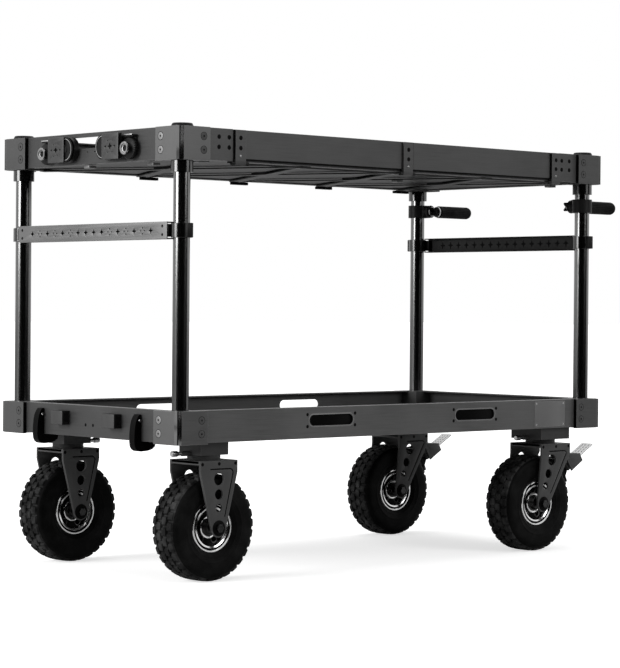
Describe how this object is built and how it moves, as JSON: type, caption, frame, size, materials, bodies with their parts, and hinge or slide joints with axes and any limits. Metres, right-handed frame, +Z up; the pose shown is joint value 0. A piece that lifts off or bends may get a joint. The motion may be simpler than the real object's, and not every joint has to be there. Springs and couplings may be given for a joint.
{
  "type": "camera cart",
  "caption": "Rolling two-deck tray cart with tube posts, cross bars, a folding side ledge, tilting push handles and braked swivel casters.",
  "frame": {"origin": "on the ground, under the middle of the whole cart's box", "axes": "+X towards the push handles at the rear, -Y towards the folding ledge, +Z up"},
  "size_m": [1.6398, 0.712, 1.08],
  "materials": {
    "deck_metal": "satin charcoal anodised",
    "post_metal": "glossy black anodised",
    "black_metal": "satin black powder coat",
    "knob_plastic": "moulded black",
    "grip_rubber": "matt black rubber",
    "tyre_rubber": "matt black pneumatic tyre",
    "rim_chrome": "bright chrome",
    "bright_steel": "bright zinc plated"
  },
  "bodies": {
    "cart_frame": {"upper_front_rail": "deck_metal", "upper_rear_rail": "deck_metal", "upper_left_rail": "deck_metal", "upper_right_rail": "deck_metal", "lower_front_rail": "deck_metal", "lower_rear_rail": "deck_metal", "lower_left_rail": "deck_metal", "lower_right_rail": "deck_metal", "upper_pan": "deck_metal", "lower_pan": "deck_metal", "upper_bracket_front_left": "deck_metal", "upper_bracket_front_right": "deck_metal", "upper_bracket_rear_left": "deck_metal", "upper_bracket_rear_right": "deck_metal", "lower_bracket_front_left": "deck_metal", "lower_bracket_front_right": "deck_metal", "lower_bracket_rear_left": "deck_metal", "lower_bracket_rear_right": "deck_metal", "post_front_left": "post_metal", "post_front_right": "post_metal", "post_rear_left": "post_metal", "post_rear_right": "post_metal", "ledge_hinge": "black_metal", "front_cross_bar": "deck_metal", "rear_cross_bar": "deck_metal", "handle_clamp_left": "black_metal", "handle_clamp_right": "black_metal", "accessory_bracket_left": "deck_metal", "accessory_bracket_right": "deck_metal", "cable_hook_left": "grip_rubber", "cable_hook_right": "grip_rubber", "rest_block_left": "deck_metal", "rest_block_right": "deck_metal", "caster_mount_front_left": "black_metal", "caster_mount_front_right": "black_metal", "caster_mount_rear_left": "black_metal", "caster_mount_rear_right": "black_metal"},
    "ledge": {"folding_ledge": "deck_metal"},
    "handle_left": {"push_handle_left": "grip_rubber"},
    "handle_right": {"push_handle_right": "grip_rubber"},
    "knob_left": {"clamp_knob_left": "knob_plastic"},
    "knob_right": {"clamp_knob_right": "knob_plastic"},
    "fork_front_left": {"caster_fork_front_left": "black_metal"},
    "fork_front_right": {"caster_fork_front_right": "black_metal"},
    "fork_rear_left": {"caster_fork_rear_left": "black_metal"},
    "fork_rear_right": {"caster_fork_rear_right": "black_metal"},
    "wheel_front_left": {"tyre_front_left": "tyre_rubber", "rim_front_left": "rim_chrome"},
    "wheel_front_right": {"tyre_front_right": "tyre_rubber", "rim_front_right": "rim_chrome"},
    "wheel_rear_left": {"tyre_rear_left": "tyre_rubber", "rim_rear_left": "rim_chrome"},
    "wheel_rear_right": {"tyre_rear_right": "tyre_rubber", "rim_rear_right": "rim_chrome"},
    "brake_left": {"brake_pedal_left": "bright_steel"},
    "brake_right": {"brake_pedal_right": "bright_steel"},
    "lock_front_left": {"swivel_lock_front_left": "bright_steel"},
    "lock_front_right": {"swivel_lock_front_right": "bright_steel"},
    "lock_rear_left": {"swivel_lock_rear_left": "bright_steel"},
    "lock_rear_right": {"swivel_lock_rear_right": "bright_steel"}
  },
  "joints": [
    {"name": "ledge_fold", "type": "hinge", "parent": "cart_frame", "child": "ledge", "pos_m": [-0.0641, -0.3475, 0.9912], "axis": [1, 0, 0], "range_deg": [0, 90]},
    {"name": "handle_tilt_left", "type": "hinge", "parent": "cart_frame", "child": "handle_left", "pos_m": [0.6439, -0.28, 0.934], "axis": [0, 1, 0], "range_deg": [-40, 60]},
    {"name": "handle_tilt_right", "type": "hinge", "parent": "cart_frame", "child": "handle_right", "pos_m": [0.6439, 0.28, 0.934], "axis": [0, 1, 0], "range_deg": [-40, 60]},
    {"name": "knob_turn_left", "type": "hinge", "parent": "cart_frame", "child": "knob_left", "pos_m": [-0.8, -0.168, 1.026], "axis": [1, 0, 0], "continuous": true},
    {"name": "knob_turn_right", "type": "hinge", "parent": "cart_frame", "child": "knob_right", "pos_m": [-0.8, 0.168, 1.026], "axis": [1, 0, 0], "continuous": true},
    {"name": "swivel_front_left", "type": "hinge", "parent": "cart_frame", "child": "fork_front_left", "pos_m": [-0.6546, -0.274, 0.29], "axis": [0, 0, 1], "continuous": true},
    {"name": "swivel_front_right", "type": "hinge", "parent": "cart_frame", "child": "fork_front_right", "pos_m": [-0.6546, 0.274, 0.29], "axis": [0, 0, 1], "continuous": true},
    {"name": "swivel_rear_left", "type": "hinge", "parent": "cart_frame", "child": "fork_rear_left", "pos_m": [0.5264, -0.274, 0.29], "axis": [0, 0, 1], "continuous": true},
    {"name": "swivel_rear_right", "type": "hinge", "parent": "cart_frame", "child": "fork_rear_right", "pos_m": [0.5264, 0.274, 0.29], "axis": [0, 0, 1], "continuous": true},
    {"name": "wheel_spin_front_left", "type": "hinge", "parent": "fork_front_left", "child": "wheel_front_left", "pos_m": [-0.6546, -0.274, 0.129], "axis": [0, 1, 0], "continuous": true},
    {"name": "wheel_spin_front_right", "type": "hinge", "parent": "fork_front_right", "child": "wheel_front_right", "pos_m": [-0.6546, 0.274, 0.129], "axis": [0, 1, 0], "continuous": true},
    {"name": "wheel_spin_rear_left", "type": "hinge", "parent": "fork_rear_left", "child": "wheel_rear_left", "pos_m": [0.4784, -0.274, 0.129], "axis": [0, 1, 0], "continuous": true},
    {"name": "wheel_spin_rear_right", "type": "hinge", "parent": "fork_rear_right", "child": "wheel_rear_right", "pos_m": [0.4784, 0.274, 0.129], "axis": [0, 1, 0], "continuous": true},
    {"name": "brake_press_left", "type": "hinge", "parent": "fork_rear_left", "child": "brake_left", "pos_m": [0.6144, -0.274, 0.241], "axis": [0, 1, 0], "range_deg": [0, 7]},
    {"name": "brake_press_right", "type": "hinge", "parent": "fork_rear_right", "child": "brake_right", "pos_m": [0.6144, 0.274, 0.241], "axis": [0, 1, 0], "range_deg": [0, 7]},
    {"name": "lock_push_front_left", "type": "slide", "parent": "cart_frame", "child": "lock_front_left", "axis": [1, 0, 0], "range_m": [0, 0.006]},
    {"name": "lock_push_front_right", "type": "slide", "parent": "cart_frame", "child": "lock_front_right", "axis": [-1, 0, 0], "range_m": [0, 0.006]},
    {"name": "lock_push_rear_left", "type": "slide", "parent": "cart_frame", "child": "lock_rear_left", "axis": [1, 0, 0], "range_m": [0, 0.006]},
    {"name": "lock_push_rear_right", "type": "slide", "parent": "cart_frame", "child": "lock_rear_right", "axis": [-1, 0, 0], "range_m": [0, 0.006]}
  ]
}
